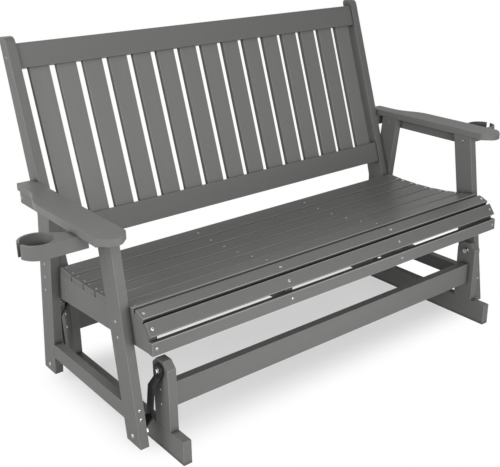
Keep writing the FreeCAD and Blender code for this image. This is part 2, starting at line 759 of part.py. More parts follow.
def build_cup_holder():
    """Round cup holder on a bar that is screwed up into the armrest from below."""
    rim = cup_radius + cup_wall
    centre = Vector(arm_outer + cup_reach, cup_place, arm_underside - cup_height)
    front = centre.y - rim
    rear = front + cup_bar_width
    inner = apron_outer + cup_bar_gap
    knee = Vector(arm_outer + cup_bar_knee, rear, centre.z)
    towards = knee - centre
    spread = math.acos(rim / towards.Length)
    angle = math.atan2(towards.y, towards.x) - spread
    touch = centre + Vector(math.cos(angle), math.sin(angle), 0) * rim
    swing = (angle + 2.5 * math.pi) % (2 * math.pi) / 2 - math.pi / 2
    outermost = centre + Vector(math.cos(swing), math.sin(swing), 0) * rim
    lead = (touch - knee).normalize()
    bend = math.pi - lead.getAngle(-ALONG_X)
    reach = cup_knee_round * math.tan(bend / 2)
    inward = (lead - ALONG_X).normalize()
    apex = knee + inward * (cup_knee_round / math.cos(bend / 2) - cup_knee_round)
    start = Vector(inner, front, centre.z)
    tangent = Vector(centre.x, front, centre.z)
    end = Vector(inner, rear, centre.z)
    edges = [Part.LineSegment(start, tangent), Part.Arc(tangent, outermost, touch)]
    bend_start = knee + lead * reach
    bend_end = knee - ALONG_X * reach
    edges += [Part.LineSegment(touch, bend_start), Part.Arc(bend_start, apex, bend_end)]
    edges += [Part.LineSegment(bend_end, end), Part.LineSegment(end, start)]
    plank = Part.Face(Part.Wire([edge.toShape() for edge in edges])).extrude(ALONG_Z * cup_height)
    plank = soften(plank, ALONG_Z)
    pocket = Part.makeCylinder(cup_radius, cup_height, centre + ALONG_Z * cup_floor)
    drain = Part.makeCylinder(cup_drain, cup_height, centre)
    corner = Vector(centre.x, centre.y - cup_slot / 2, centre.z + cup_floor)
    slot = Part.makeBox(2 * rim, cup_slot, cup_height, corner)
    wall_slot = Part.makeBox(rim, cup_slot, cup_height, Vector(centre.x + cup_radius, corner.y, centre.z))
    pair("cup_holder", plank.cut([pocket, drain, slot, wall_slot]).Solids[0])
    for step in (-0.5, 0.5):
        head = Vector((inner + arm_outer) / 2, (front + rear) / 2 + step * cup_screw_spacing, centre.z)
        drive("arm_screws", head, ALONG_Z, cup_height + arm_screw_bite, "right_cup_holder", "right_armrest")


# Assembly
def finish_pieces():
    """Cut the holes, collect the screws and make the left-hand pieces."""
    for name, shape in list(pieces.items()):
        tools = list(holes.get(name, []))
        if name.startswith("right_"):
            if tools:
                shape = shape.cut(tools).Solids[0]
            pieces[name] = shape
            pieces[name.replace("right_", "left_", 1)] = mirrored(shape)
        elif tools:
            pieces[name] = shape.cut(tools + [mirrored(tool) for tool in tools]).Solids[0]
    for name, shapes in screws.items():
        pieces[name] = Part.makeCompound(shapes)


def hang_seat(standing):
    """Carry the seat, built about its own middle, to where it hangs behind the base's middle."""
    for name, shape in pieces.items():
        if name.replace("left_", "right_", 1) not in standing:
            shape.translate(Vector(0, seat_settle, 0))


def export_pieces():
    """Put the origin under the middle of the whole bench and write one file for each piece."""
    os.makedirs("parts", exist_ok=True)
    box = Part.makeCompound(list(pieces.values())).optimalBoundingBox(False, False)
    shift = Vector(0, -(box.YMin + box.YMax) / 2, 0)
    for name, shape in sorted(pieces.items()):
        shape.translate(shift)
        shape.exportStep("parts/" + name + ".step")
    print("pieces", len(pieces), "shift", round(shift.y, 3))
    print("size", round(box.XLength, 1), round(box.YLength, 1), round(box.ZLength, 1))


build_base()
build_pivots("upper", upper_hardware, "_base_post")
build_hangers()
standing_pieces = set(pieces) | {"base_screws"}
build_legs()
build_pivots("lower", lower_hardware, "_leg")
build_seat()
build_back()
screw_legs()
build_arms()
build_cup_holder()
finish_pieces()
hang_seat(standing_pieces)
export_pieces()
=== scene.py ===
"""Looks of a grey plastic-lumber glider bench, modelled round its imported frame.

Metres, +Z up, +X to the right as seen from the front, +Y to the back.
Each piece stands for one node of the frame, sits where that node is and rides on its body.
"""

import json
import logging
import math
from dataclasses import dataclass
from enum import Enum
from typing import Callable, Iterable, Sequence

import bmesh
import bpy
import numpy as np
from bmesh.types import BMEdge, BMesh, BMVert
from mathutils import Matrix, Vector

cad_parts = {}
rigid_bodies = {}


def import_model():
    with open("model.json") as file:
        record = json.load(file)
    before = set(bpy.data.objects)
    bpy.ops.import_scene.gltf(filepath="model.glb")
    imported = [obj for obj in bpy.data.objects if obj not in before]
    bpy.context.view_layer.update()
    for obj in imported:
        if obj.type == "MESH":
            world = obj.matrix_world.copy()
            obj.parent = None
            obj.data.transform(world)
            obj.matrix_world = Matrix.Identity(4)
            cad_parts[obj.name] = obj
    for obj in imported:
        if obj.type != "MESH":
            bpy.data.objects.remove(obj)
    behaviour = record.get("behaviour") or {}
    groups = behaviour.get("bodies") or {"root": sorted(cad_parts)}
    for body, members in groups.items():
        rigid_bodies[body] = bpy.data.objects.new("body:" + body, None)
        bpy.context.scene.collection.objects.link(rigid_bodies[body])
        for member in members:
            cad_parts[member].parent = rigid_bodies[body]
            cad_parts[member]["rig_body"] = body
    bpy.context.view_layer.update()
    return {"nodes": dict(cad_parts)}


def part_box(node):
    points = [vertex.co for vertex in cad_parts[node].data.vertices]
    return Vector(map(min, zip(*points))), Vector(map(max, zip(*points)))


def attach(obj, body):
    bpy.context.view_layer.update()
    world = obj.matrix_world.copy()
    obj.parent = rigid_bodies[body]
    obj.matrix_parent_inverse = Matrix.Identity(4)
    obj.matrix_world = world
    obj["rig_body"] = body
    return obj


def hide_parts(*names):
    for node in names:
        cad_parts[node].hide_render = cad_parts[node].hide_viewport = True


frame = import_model()

log = logging.getLogger("glider_bench")

ALONG_X = Vector((1, 0, 0))
ALONG_Z = Vector((0, 0, 1))
SIDES = ("right", "left")
ENDS = (("front", -1), ("rear", 1))
# small rounds are marked for a lighter colour: edge wear and a painted highlight where edges catch light
EDGE_WEAR_AND_HIGHLIGHT = "edge_wear"
# A distance too small to matter, in metres
HAIR = 1e-4

Socket = bpy.types.NodeSocket
Triple = tuple[float, float, float]


class Slot(Enum):
    """Material slots of the record that the finishes belong to."""

    LUMBER = "grey_lumber"
    STEEL = "black_steel"
    HARDWARE = "steel_hardware"
    BUSH = "bush_nylon"


class Grain(Enum):
    """How a board's grain runs: across the bench, or at an angle in degrees above the way back."""

    ACROSS = None
    DEEP = 0.0
    UPRIGHT = 90.0
    RECLINED = 72.0
    FRONT_LEG = 81.55
    REAR_LEG = 97.25

    def turn(self) -> Triple:
        """Find how a pattern is turned to follow the grain.

        Returns:
            Euler angles that lay the pattern's X axis along the grain.
        """
        if self.value is None:
            return 0.0, 0.0, 0.0
        return 0.0, -math.radians(self.value), math.pi / 2


# Finishes
class NodeTree:
    """A material's nodes, added and linked by name."""

    pattern_low: float = 0.25
    pattern_high: float = 0.75

    def __init__(self, name: str) -> None:
        """Start an empty material that has only a shader and an output.

        Args:
            name: the material's name.
        """
        self.material = bpy.data.materials.new(name)
        self.material.use_nodes = True
        self.nodes = self.material.node_tree.nodes
        self.shader = self.nodes["Principled BSDF"]

    def add(self, kind: str, **settings: object) -> bpy.types.Node:
        """Add one node.

        Args:
            kind: Blender's name of the node's class.
            settings: attributes of the node, and values of its inputs where it has no such attribute.

        Returns:
            The new node.
        """
        node = self.nodes.new(kind)
        for key, value in settings.items():
            if hasattr(node, key):
                setattr(node, key, value)
            else:
                node.inputs[key.replace("_", " ").title()].default_value = value
        return node

    def join(self, source: Socket, target: Socket) -> None:
        """Link an output to an input."""
        self.material.node_tree.links.new(source, target)

    def drive(self, name: str, source: Socket) -> None:
        """Link a value to one of the shader's inputs."""
        self.join(source, self.shader.inputs[name])

    def fix(self, name: str, value: float | Sequence[float]) -> None:
        """Set one of the shader's inputs to a plain value."""
        self.shader.inputs[name].default_value = value

    def noise(self, place: Socket, size: Sequence[float], detail: float) -> Socket:
        """Add a noise pattern.

        Args:
            place: coordinates in metres.
            size: extent of one patch of the pattern along each axis, in metres.
            detail: octaves of finer noise in it.

        Returns:
            The pattern's strength, about 0.5 on average.
        """
        scaled = self.add("ShaderNodeMapping", vector_type="TEXTURE")
        scaled.inputs["Scale"].default_value = size
        pattern = self.add("ShaderNodeTexNoise", noise_dimensions="3D")
        pattern.inputs["Scale"].default_value = 1.0
        pattern.inputs["Detail"].default_value = detail
        self.join(place, scaled.inputs["Vector"])
        self.join(scaled.outputs["Vector"], pattern.inputs["Vector"])
        return pattern.outputs["Fac"]

    def span(self, value: Socket, low: float = 0.0, high: float = 1.0) -> Socket:
        """Carry a pattern's middle range to a new range.

        Args:
            value: pattern from 0 to 1.
            low: result at the low end of the middle range.
            high: result at its high end.

        Returns:
            The carried value.
        """
        node = self.add("ShaderNodeMapRange")
        node.inputs["From Min"].default_value = self.pattern_low
        node.inputs["From Max"].default_value = self.pattern_high
        node.inputs["To Min"].default_value = low
        node.inputs["To Max"].default_value = high
        self.join(value, node.inputs["Value"])
        return node.outputs["Result"]

    def blend(
        self, share: Socket | float, first: Socket | Sequence[float], second: Socket | Sequence[float],
        way: str = "MIX",
    ) -> Socket:
        """Mix two colours.

        Args:
            share: 0 gives the first colour, 1 the second; a value or a plain number.
            first: a colour, or red, green and blue.
            second: a colour, or red, green and blue.
            way: Blender's name of the way to mix.

        Returns:
            The mixed colour.
        """
        node = self.add("ShaderNodeMix", data_type="RGBA", blend_type=way)
        colours = [socket for socket in node.inputs if socket.type == "RGBA"]
        targets = (node.inputs["Factor"], *colours)
        for value, socket in zip((share, first, second), targets):
            if isinstance(value, Socket):
                self.join(value, socket)
            elif socket in colours:
                socket.default_value = (*value, 1.0)
            else:
                socket.default_value = value
        return next(socket for socket in node.outputs if socket.type == "RGBA")

    def paint_crevice_shade(self, colour: Socket, reach: float) -> Socket:
        """Paint shade into a colour in crevices, where other surfaces stand close: an ambient-occlusion node
        darkens it there.

        Args:
            colour: the colour in the open.
            reach: how far off a surface still counts, in metres.

        Returns:
            The colour with painted shade in its crevices.
        """
        crevice_shade = self.add("ShaderNodeAmbientOcclusion")
        crevice_shade.inputs["Distance"].default_value = reach
        return self.blend(1.0, colour, crevice_shade.outputs["Color"], "MULTIPLY")

    def calculate(self, operation: str, first: Socket, second: Socket | float) -> Socket:
        """Combine two values.

        Args:
            operation: Blender's name of the sum.
            first: a value.
            second: a value, or a plain number.

        Returns:
            The result.
        """
        node = self.add("ShaderNodeMath", operation=operation)
        self.join(first, node.inputs[0])
        if isinstance(second, Socket):
            self.join(second, node.inputs[1])
        else:
            node.inputs[1].default_value = second
        return node.outputs["Value"]

    def emboss(self, height: Socket, strength: float, depth: float) -> None:
        """Raise the surface by a pattern.

        Args:
            height: the pattern.
            strength: share of the relief that shows.
            depth: height of the relief in metres.
        """
        node = self.add("ShaderNodeBump")
        node.inputs["Strength"].default_value = strength
        node.inputs["Distance"].default_value = depth
        self.join(height, node.inputs["Height"])
        self.drive("Normal", node.outputs["Normal"])


class Finish:
    """What a piece is made of."""

    name: str
    slot: Slot

    def paint(self, tree: NodeTree, place: Socket) -> None:
        """Lay the finish's nodes.

        Args:
            tree: the material's nodes.
            place: coordinates on the piece, in metres.
        """
        raise NotImplementedError

    def material(self) -> bpy.types.Material:
        """Make the material, or fetch it where it is made already.

        Returns:
            The material.
        """
        if self.name not in bpy.data.materials:
            tree = NodeTree(self.name)
            self.paint(tree, tree.add("ShaderNodeTexCoord").outputs["Object"])
        return bpy.data.materials[self.name]


@dataclass(frozen=True)
class LumberFinish(Finish):
    """Grey plastic lumber with an embossed wood grain that runs along the board.

    The extents of its patterns are along, across and through the board.
    """

    grain: Grain
    tone: float = 1.0
    wear_and_highlight: float = 1.45
    slot: Slot = Slot.LUMBER
    dark: Triple = (0.158, 0.158, 0.154)
    light: Triple = (0.177, 0.177, 0.172)
    shine: float = 0.1
    roughness: tuple[float, float] = (0.48, 0.38)
    streak: Triple = (0.09, 0.0012, 0.0012)
    streak_detail: float = 4.0
    figure: Triple = (0.3, 0.008, 0.008)
    figure_detail: float = 3.0
    figure_share: float = 0.6
    patch: Triple = (1.1, 0.06, 0.06)
    patch_detail: float = 2.0
    patch_share: float = 1.4
    relief: float = 0.00035
    relief_strength: float = 0.3
    worn_and_lit_share: tuple[float, float] = (0.4, 1.0)
    # reach of the painted shade in crevices, in metres
    crevice_shade: float = 0.016

    @property
    def name(self) -> str:
        """The material's name, with its grain, tone, and share of edge wear and painted highlight."""
        shares = (round(100 * self.tone), round(100 * self.wear_and_highlight))
        return "grey_lumber_%s_%d_%d" % (self.grain.name.lower(), *shares)

    def paint(self, tree: NodeTree, place: Socket) -> None:
        """Lay the grain along the board, with edge wear and a painted highlight on the small rounds, and
        painted shade in crevices.

        Args:
            tree: the material's nodes.
            place: coordinates on the piece, in metres.
        """
        turned = tree.add("ShaderNodeMapping", vector_type="TEXTURE")
        turned.inputs["Rotation"].default_value = self.grain.turn()
        tree.join(place, turned.inputs["Vector"])
        along = turned.outputs["Vector"]
        streaks = tree.noise(along, self.streak, self.streak_detail)
        figure = tree.noise(along, self.figure, self.figure_detail)
        patches = tree.noise(along, self.patch, self.patch_detail)
        relief = tree.calculate("ADD", tree.calculate("MULTIPLY", figure, self.figure_share), streaks)
        shade = tree.calculate("ADD", relief, tree.calculate("MULTIPLY", patches, self.patch_share))
        parts = self.figure_share + 1 + self.patch_share
        shade = tree.span(tree.calculate("MULTIPLY", shade, 1 / parts))
        dark, light = ([self.tone * part for part in colour] for colour in (self.dark, self.light))
        # edge wear and painted highlight: the marked small rounds are lightened
        edges = tree.add("ShaderNodeAttribute", attribute_name=EDGE_WEAR_AND_HIGHLIGHT).outputs["Fac"]
        worn_and_lit = tree.calculate("MULTIPLY", edges, tree.span(figure, *self.worn_and_lit_share))
        colour = tree.blend(worn_and_lit, tree.blend(shade, dark, light), [self.wear_and_highlight * part for part in light])
        # painted shade: the colour is darkened in crevices and gaps, where shade falls
        tree.drive("Base Color", tree.paint_crevice_shade(colour, self.crevice_shade))
        tree.drive("Roughness", tree.span(figure, *self.roughness))
        tree.fix("Specular IOR Level", self.shine)
        tree.emboss(relief, self.relief_strength, self.relief)


@dataclass(frozen=True)
class PowderCoatFinish(Finish):
    """Black powder coat with a fine pebbled skin."""

    name: str = "black_powder_coat"
    slot: Slot = Slot.STEEL
    dark: Triple = (0.012, 0.012, 0.012)
    light: Triple = (0.03, 0.03, 0.03)
    shine: float = 0.25
    roughness: tuple[float, float] = (0.36, 0.5)
    pebble: float = 0.0012
    pebble_detail: float = 2.0
    patch: float = 0.03
    patch_detail: float = 3.0
    relief: float = 0.0001
    relief_strength: float = 0.4

    def paint(self, tree: NodeTree, place: Socket) -> None:
        """Lay the patches and the pebbled relief.

        Args:
            tree: the material's nodes.
            place: coordinates on the piece, in metres.
        """
        pebbles = tree.noise(place, (self.pebble,) * 3, self.pebble_detail)
        patches = tree.noise(place, (self.patch,) * 3, self.patch_detail)
        tree.drive("Base Color", tree.blend(tree.span(patches), self.dark, self.light))
        tree.drive("Roughness", tree.span(patches, *self.roughness))
        tree.fix("Specular IOR Level", self.shine)
        tree.emboss(pebbles, self.relief_strength, self.relief)


@dataclass(frozen=True)
class SteelFinish(Finish):
    """Plated steel of the screws, bolts, nuts and washers."""

    name: str = "plated_steel"
    slot: Slot = Slot.HARDWARE
    dark: Triple = (0.33, 0.33, 0.32)
    light: Triple = (0.5, 0.5, 0.48)
    roughness: tuple[float, float] = (0.2, 0.34)
    scratch: Triple = (0.0064, 0.0008, 0.0008)
    scratch_detail: float = 2.0
    stain: float = 0.006
    stain_detail: float = 3.0

    def paint(self, tree: NodeTree, place: Socket) -> None:
        """Lay the stains and the fine scratches.

        Args:
            tree: the material's nodes.
            place: coordinates on the piece, in metres.
        """
        stains = tree.noise(place, (self.stain,) * 3, self.stain_detail)
        scratches = tree.noise(place, self.scratch, self.scratch_detail)
        tree.fix("Metallic", 1.0)
        tree.drive("Base Color", tree.blend(tree.span(stains), self.dark, self.light))
        tree.drive("Roughness", tree.span(scratches, *self.roughness))


@dataclass(frozen=True)
class NylonFinish(Finish):
    """Black nylon of the bushes in the hangers' eyes."""

    name: str = "black_nylon"
    slot: Slot = Slot.BUSH
    dark: Triple = (0.035, 0.035, 0.035)
    light: Triple = (0.06, 0.06, 0.06)
    roughness: tuple[float, float] = (0.4, 0.55)
    patch: float = 0.004
    patch_detail: float = 3.0

    def paint(self, tree: NodeTree, place: Socket) -> None:
        """Lay the faint patches.

        Args:
            tree: the material's nodes.
            place: coordinates on the piece, in metres.
        """
        patches = tree.noise(place, (self.patch,) * 3, self.patch_detail)
        tree.drive("Base Color", tree.blend(tree.span(patches), self.dark, self.light))
        tree.drive("Roughness", tree.span(patches, *self.roughness))


# Shapes
@dataclass(frozen=True)
class Span:
    """Lowest and highest corner of a node of the frame."""

    low: Vector
    high: Vector

    @classmethod
    def of(cls, node: str) -> "Span":
        """Measure a node."""
        return cls(*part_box(node))

    @property
    def middle(self) -> Vector:
        """The box's middle."""
        return (self.low + self.high) / 2

    @property
    def size(self) -> Vector:
        """The box's sides."""
        return self.high - self.low


class Shape:
    """A piece under the plane: a bmesh and the operations that shape it."""

    edge_round: float = 0.0012
    edge_segments: int = 3
    square_turn: float = math.radians(40)
    flat_turn: float = math.radians(0.5)
    same_place: float = 2e-6
    same_way: float = 0.999
    # widest round that gets the lighter colour of edge wear and painted highlight
    widest_wear_and_highlight: float = 0.0025

    def __init__(self) -> None:
        """Start with an empty bmesh."""
        self.mesh: BMesh = bmesh.new()

    @classmethod
    def block(cls, low: Vector, high: Vector) -> "Shape":
        """Square block between two opposite corners.

        Args:
            low: lowest corner.
            high: highest corner.

        Returns:
            The block, with sharp edges.
        """
        shape = cls()
        bmesh.ops.create_cube(shape.mesh, size=1.0)
        bmesh.ops.scale(shape.mesh, vec=high - low, verts=shape.mesh.verts)
        bmesh.ops.translate(shape.mesh, vec=(low + high) / 2, verts=shape.mesh.verts)
        return shape

    @classmethod
    def plate(cls, corners: Sequence[Vector], push: Vector) -> "Shape":
        """Board cut to an outline.

        Args:
            corners: the outline's corners, in order.
            push: the way to its other face.

        Returns:
            The board, with sharp edges.
        """
        shape = cls()
        face = shape.mesh.faces.new([shape.mesh.verts.new(corner) for corner in corners])
        made = bmesh.ops.extrude_face_region(shape.mesh, geom=[face])["geom"]
        moved = [item for item in made if isinstance(item, BMVert)]
        bmesh.ops.translate(shape.mesh, vec=push, verts=moved)
        bmesh.ops.recalc_face_normals(shape.mesh, faces=shape.mesh.faces)
        return shape

    @classmethod
    def side_plate(cls, corners: Iterable[tuple[float, float]], inner: float, outer: float) -> "Shape":
        """Upright board that faces sideways.

        Args:
            corners: (y, z) of its outline's corners, in order.
            inner: x of its inner face.
            outer: x of its outer face.

        Returns:
            The board, with sharp edges.
        """
        return cls.plate([Vector((inner, y, z)) for y, z in corners], ALONG_X * (outer - inner))

    @classmethod
    def copy_of(cls, node: str) -> "Shape":
        """Merged copy of a node's mesh, its flats made whole again.

        Args:
            node: name of the frame's node.

        Returns:
            The copy.
        """
        shape = cls()
        shape.mesh.from_mesh(frame["nodes"][node].data)
        bmesh.ops.remove_doubles(shape.mesh, verts=shape.mesh.verts, dist=cls.same_place)
        bmesh.ops.dissolve_limit(
            shape.mesh, angle_limit=cls.flat_turn, verts=shape.mesh.verts, edges=shape.mesh.edges
        )
        return shape

    def round_corners(
        self, along: Vector, reach: float, segments: int, chosen: Callable[[Vector], bool]
    ) -> "Shape":
        """Round the edges that run one way.

        Args:
            along: direction of the edges.
            reach: how far from the corner the round starts.
            segments: facets of the round.
            chosen: says by an edge's middle whether it is one of them.

        Returns:
            This shape.
        """
        edges = []
        for edge in self.mesh.edges:
            first, second = (vert.co for vert in edge.verts)
            way = (second - first).normalized()
            if abs(way.dot(along)) > self.same_way and chosen((first + second) / 2):
                edges.append(edge)
        self._bevel(edges, reach, segments)
        return self

    def round_edges(self, radius: float = edge_round, segments: int = edge_segments) -> "Shape":
        """Round every edge that turns by more than a shallow angle.

        Args:
            radius: size of the round.
            segments: facets of the round.

        Returns:
            This shape.
        """
        edges = [edge for edge in self.mesh.edges if edge.calc_face_angle(0.0) > self.square_turn]
        self._bevel(edges, radius, segments)
        return self

    def _bevel(self, edges: list[BMEdge], offset: float, segments: int) -> None:
        """Bevel some edges to a round profile, and mark small rounds for edge wear and a painted highlight.

        Args:
            edges: the edges.
            offset: how far from the edge the round starts.
            segments: facets of the round.
        """
        marks = self.mesh.faces.layers.float
        mark = marks.get(EDGE_WEAR_AND_HIGHLIGHT) or marks.new(EDGE_WEAR_AND_HIGHLIGHT)
        made = bmesh.ops.bevel(
            self.mesh, geom=edges, offset=offset, offset_type="OFFSET", affect="EDGES",
            segments=segments, profile=0.5, material=-1, clamp_overlap=True,
        )
        if offset <= self.widest_wear_and_highlight:
            for face in made["faces"]:
                face[mark] = 1.0

    def tilt(self, angle: float, y: float, z: float) -> "Shape":
        """Turn the shape about the X axis, then carry it.

        Args:
            angle: degrees.
            y: where its own origin goes, along Y.
            z: where its own origin goes, along Z.

        Returns:
            This shape.
        """
        place = Matrix.Translation((0, y, z)) @ Matrix.Rotation(math.radians(angle), 4, "X")
        bmesh.ops.transform(self.mesh, matrix=place, verts=self.mesh.verts)
        return self

    def take(self, other: "Shape") -> None:
        """Add another shape's mesh to this one.

        Args:
            other: the other shape, which is used up.
        """
        carrier = bpy.data.meshes.new("carrier")
        other.mesh.to_mesh(carrier)
        other.mesh.free()
        self.mesh.from_mesh(carrier)
        bpy.data.meshes.remove(carrier)

    def mirrored(self) -> "Shape":
        """Copy the shape to the other side of the bench.

        Returns:
            The mirror image.
        """
        twin = Shape()
        twin.mesh = self.mesh.copy()
        bmesh.ops.scale(twin.mesh, vec=(-1, 1, 1), verts=twin.mesh.verts)
        bmesh.ops.recalc_face_normals(twin.mesh, faces=twin.mesh.faces)
        return twin


class SubAssembly:
    """A group of pieces that are built and dressed together."""

    smooth_below: float = math.radians(38)

    def build(self) -> None:
        """Build every piece of the group."""
        raise NotImplementedError

    def dress(self, node: str, shape: Shape, finish: Finish) -> None:
        """Turn a shape into the piece that stands for a node.

        Args:
            node: name of the frame's node.
            shape: the piece's finished mesh.
            finish: what it is made of.
        """
        mesh = bpy.data.meshes.new(node + "_shape")
        shape.mesh.to_mesh(mesh)
        shape.mesh.free()
        mesh.shade_smooth()
        mesh.set_sharp_from_angle(angle=self.smooth_below)
        mesh.materials.append(finish.material())
        piece = bpy.data.objects.new(node + "_finished", mesh)
        bpy.context.scene.collection.objects.link(piece)
        shading = piece.modifiers.new("even_shading", "WEIGHTED_NORMAL")
        shading.keep_sharp = True
        body = frame["nodes"][node]["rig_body"]
        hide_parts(node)
        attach(piece, body)
        log.info("%s: %d faces, rides on %s", piece.name, len(mesh.polygons), body)

    def dress_pair(self, name: str, shape: Shape, finish: Finish) -> None:
        """Dress a right-hand piece and its mirror image.

        Args:
            name: name of the nodes without their side.
            shape: the right-hand piece's mesh.
            finish: what both are made of.
        """
        twin = shape.mirrored()
        self.dress("right_" + name, shape, finish)
        self.dress("left_" + name, twin, finish)


# Sub-assemblies
@dataclass
class BaseFrame(SubAssembly):
    """Runners, posts and crossbars, which stand still."""

    chamfer: float = 0.021

    def build(self) -> None:
        """Build the base's boards."""
        runner = Span.of("right_runner")
        shape = Shape.block(runner.low, runner.high).round_edges()
        self.dress_pair("runner", shape, LumberFinish(Grain.DEEP))
        for end, _ in ENDS:
            self.dress_pair(end + "_base_post", self.post(end), LumberFinish(Grain.UPRIGHT))
            bar = Span.of(end + "_base_crossbar")
            shape = Shape.block(bar.low, bar.high).round_edges()
            self.dress(end + "_base_crossbar", shape, LumberFinish(Grain.ACROSS))

    def post(self, end: str) -> Shape:
        """Right-hand post, chamfered at its top.

        Args:
            end: front or rear.

        Returns:
            The post.
        """
        post = Span.of("right_" + end + "_base_post")
        low, high = post.low, post.high
        shoulder = high.z - self.chamfer
        corners = [(low.y, low.z), (high.y, low.z), (high.y, shoulder), (high.y - self.chamfer, high.z)]
        corners += [(low.y + self.chamfer, high.z), (low.y, shoulder)]
        return Shape.side_plate(corners, low.x, high.x).round_edges()


@dataclass
class HangerSet(SubAssembly):
    """Bent flat-steel hangers with their bushes, and the bolts, nuts and washers they turn on."""

    strap_round: float = 0.0009
    bush_round: float = 0.0003
    hardware_round: float = 0.0006
    segments: int = 2

    def build(self) -> None:
        """Build the hangers and the pivots."""
        for end, _ in ENDS:
            for side in SIDES:
                self.round_off(side + "_" + end + "_hanger", self.strap_round, PowderCoatFinish())
            self.round_off(end + "_hanger_bushes", self.bush_round, NylonFinish())
        for level in ("upper", "lower"):
            for kind in ("bolts", "nuts", "washers"):
                self.round_off(level + "_pivot_" + kind, self.hardware_round, SteelFinish())

    def round_off(self, node: str, radius: float, finish: Finish) -> None:
        """Dress a copy of a node with its edges rounded."""
        self.dress(node, Shape.copy_of(node).round_edges(radius, self.segments), finish)


@dataclass
class SeatSide(SubAssembly):
    """Splayed legs and the stretchers between them, about the seat's middle along Y."""

    middle: float
    half_span: float = 0.255
    leg_width: float = 0.072
    leg_foot: float = 0.0245

    def lean(self, side: int) -> float:
        """A leg's lean in radians: side is -1 front, 1 rear."""
        grain = Grain.FRONT_LEG if side < 0 else Grain.REAR_LEG
        return abs(math.radians(90 - grain.value))

    def edge(self, side: int, height: float, outward: int) -> float:
        """Where a leg's edge is along Y.

        Args:
            side: -1 front, 1 rear.
            height: above the floor.
            outward: 1 for the edge towards the bench's front or rear, -1 for the one towards its middle.

        Returns:
            The edge's place.
        """
        pivot = Span.of("right_front_leg").low.z + self.leg_foot
        run = self.half_span - (height - pivot) * math.tan(self.lean(side))
        return self.middle + side * (run + outward * self.leg_width / 2 / math.cos(self.lean(side)))

    def build(self) -> None:
        """Build the legs and stretchers."""
        for end, side in ENDS:
            leg = Span.of("right_" + end + "_leg")
            heights = (leg.low.z, leg.high.z)
            corners = [(self.edge(side, height, 1), height) for height in heights]
            corners += [(self.edge(side, height, -1), height) for height in reversed(heights)]
            shape = Shape.side_plate(corners, leg.low.x, leg.high.x).round_edges()
            grain = Grain.FRONT_LEG if side < 0 else Grain.REAR_LEG
            self.dress_pair(end + "_leg", shape, LumberFinish(grain))
        bar = Span.of("right_stretcher")
        heights = (bar.low.z, bar.high.z)
        corners = [(self.edge(-1, height, -1), height) for height in heights]
        corners += [(self.edge(1, height, -1), height) for height in reversed(heights)]
        shape = Shape.side_plate(corners, bar.low.x, bar.high.x).round_edges()
        self.dress_pair("stretcher", shape, LumberFinish(Grain.DEEP))


@dataclass
class SeatPart(SubAssembly):
    """A part of the seat: the seat's middle along Y, and the back posts' feet behind it."""

    middle: float
    front_foot: float = 0.1705
    foot_depth: float = 0.079


